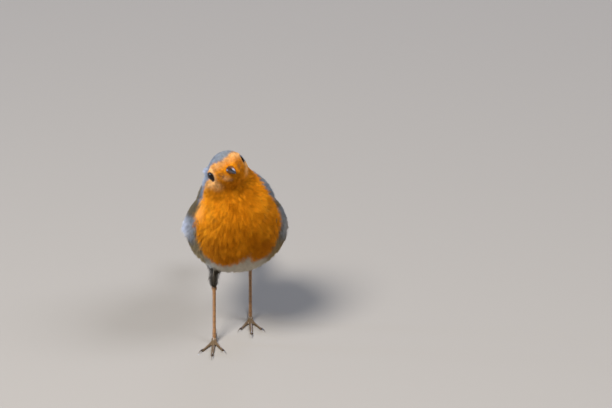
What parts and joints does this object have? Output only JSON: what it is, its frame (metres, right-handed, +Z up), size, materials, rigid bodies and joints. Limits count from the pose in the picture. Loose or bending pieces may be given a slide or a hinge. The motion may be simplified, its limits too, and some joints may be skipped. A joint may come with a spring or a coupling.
{
  "type": "european robin",
  "caption": "Life-size European robin, a small orange-breasted songbird, standing in mid-step with folded wings and its head cocked as it looks up.",
  "frame": {"origin": "on the floor, under the middle of the whole bird", "axes": "+Z up, -Y the way the bird walks, +X to its left"},
  "size_m": [0.052, 0.112, 0.108],
  "materials": {
    "breast_feathers": "soft matte feathers",
    "wing_feathers": "smooth matte vanes",
    "tail_feathers": "smooth matte vanes",
    "thigh_feathers": "soft matte feathers",
    "leg_scales": "satin scales",
    "claw_horn": "satin horn",
    "bill_horn": "satin horn",
    "eye": "wet gloss"
  },
  "bodies": {
    "root": {"head": "breast_feathers", "neck": "breast_feathers", "trunk": "breast_feathers", "bill_upper": "bill_horn", "bill_lower": "bill_horn", "eye_right": "eye", "eye_left": "eye", "wing_right": "wing_feathers", "wing_left": "wing_feathers", "tail": "tail_feathers", "thigh_right": "thigh_feathers", "tarsus_right": "leg_scales", "foot_right": "leg_scales", "claw_right_inner": "claw_horn", "claw_right_middle": "claw_horn", "claw_right_outer": "claw_horn", "claw_right_hind": "claw_horn", "thigh_left": "thigh_feathers", "tarsus_left": "leg_scales", "foot_left": "leg_scales", "claw_left_inner": "claw_horn", "claw_left_middle": "claw_horn", "claw_left_outer": "claw_horn", "claw_left_hind": "claw_horn"}
  },
  "joints": []
}
